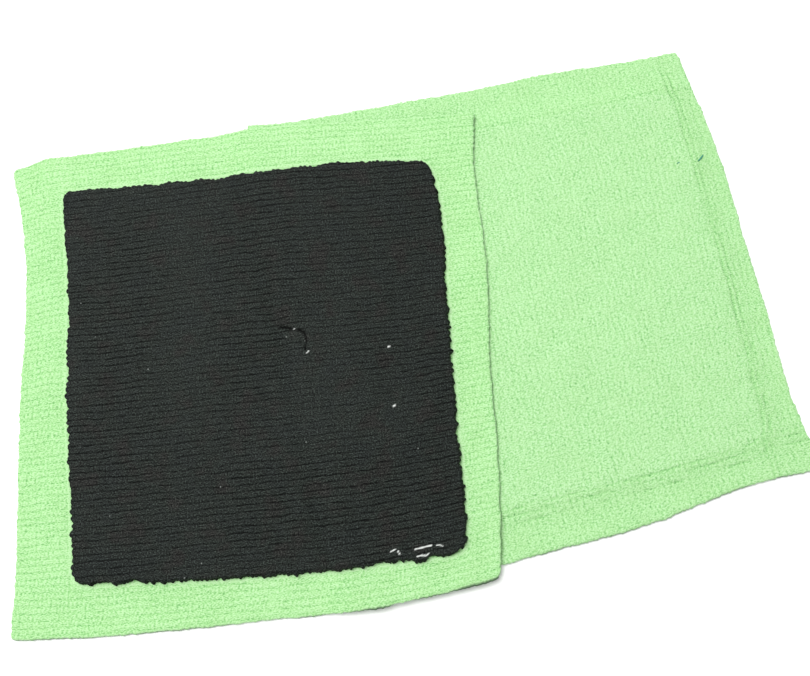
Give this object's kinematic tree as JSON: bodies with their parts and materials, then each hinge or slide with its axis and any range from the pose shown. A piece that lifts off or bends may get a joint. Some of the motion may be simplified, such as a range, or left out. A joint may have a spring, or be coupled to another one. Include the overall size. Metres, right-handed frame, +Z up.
{
  "type": "clay towel pair",
  "caption": "Light green microfibre clay towels for car paint, charcoal clay coat on one face: one clay side up, lying across another that is clay side down.",
  "frame": {"origin": "centre of the lower towel, on the surface it rests on, in the flat underside of its clay coat", "axes": "+Z up; +X and +Y along the lower towel's edges, with the upper towel lying towards -X"},
  "size_m": [0.5083, 0.3353, 0.0103],
  "materials": {
    "microfibre": "matte looped knit pile",
    "clay_polymer": "satin ridged polymer",
    "bond": "matte adhesive"
  },
  "bodies": {
    "lower_main": {"lower_towel_main": "microfibre", "lower_bond_coat_main": "bond", "lower_clay_coat_main": "clay_polymer"},
    "lower_flap": {"lower_towel_flap": "microfibre", "lower_bond_coat_flap": "bond", "lower_clay_coat_flap": "clay_polymer"},
    "upper_left": {"upper_towel_left": "microfibre", "upper_bond_coat_left": "bond", "upper_clay_coat_left": "clay_polymer"},
    "upper_right": {"upper_towel_right": "microfibre", "upper_bond_coat_right": "bond", "upper_clay_coat_right": "clay_polymer"}
  },
  "joints": [
    {"name": "lower_fold", "type": "hinge", "parent": "lower_main", "child": "lower_flap", "pos_m": [0.012, 0, 0.0104], "axis": [0, -1, 0], "range_deg": [0, 179]},
    {"name": "upper_lift", "type": "slide", "parent": "lower_main", "child": "upper_left", "axis": [0, 0, 1], "range_m": [0, 0.2]},
    {"name": "upper_fold", "type": "hinge", "parent": "upper_left", "child": "upper_right", "pos_m": [-0.1765, 0.0029, 0.0084], "axis": [-0.1461, -0.9893, 0], "range_deg": [0, 179]}
  ]
}
